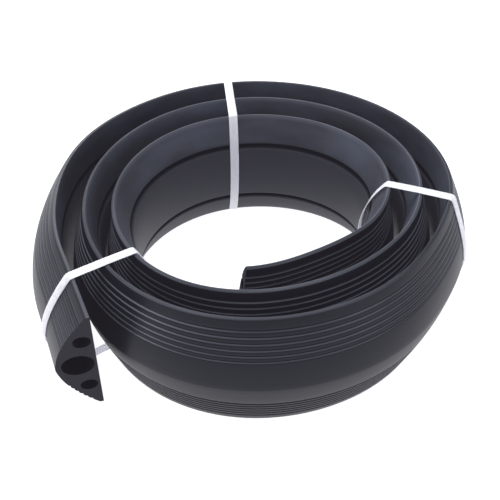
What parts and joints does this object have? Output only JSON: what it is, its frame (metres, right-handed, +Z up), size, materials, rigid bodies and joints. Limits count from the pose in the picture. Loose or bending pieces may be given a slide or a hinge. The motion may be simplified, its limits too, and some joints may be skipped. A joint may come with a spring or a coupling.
{
  "type": "cable raceway",
  "caption": "Coil of domed rubber floor cable raceway with a flat base, ribbed flanks and round cable channels, tied with flat bands.",
  "frame": {"origin": "on the floor, under the middle of the coil's outer box", "axes": "+Z up along the coil's axis; the strip's outer cut end points to -Y and slightly to +X, at the -X side"},
  "size_m": [0.4266, 0.3976, 0.1372],
  "materials": {
    "raceway_rubber": "extruded satin black rubber",
    "tie_band": "white flat plastic tie band"
  },
  "bodies": {
    "root": {"raceway": "raceway_rubber", "band_left": "tie_band", "band_back": "tie_band", "band_right": "tie_band"}
  },
  "joints": []
}
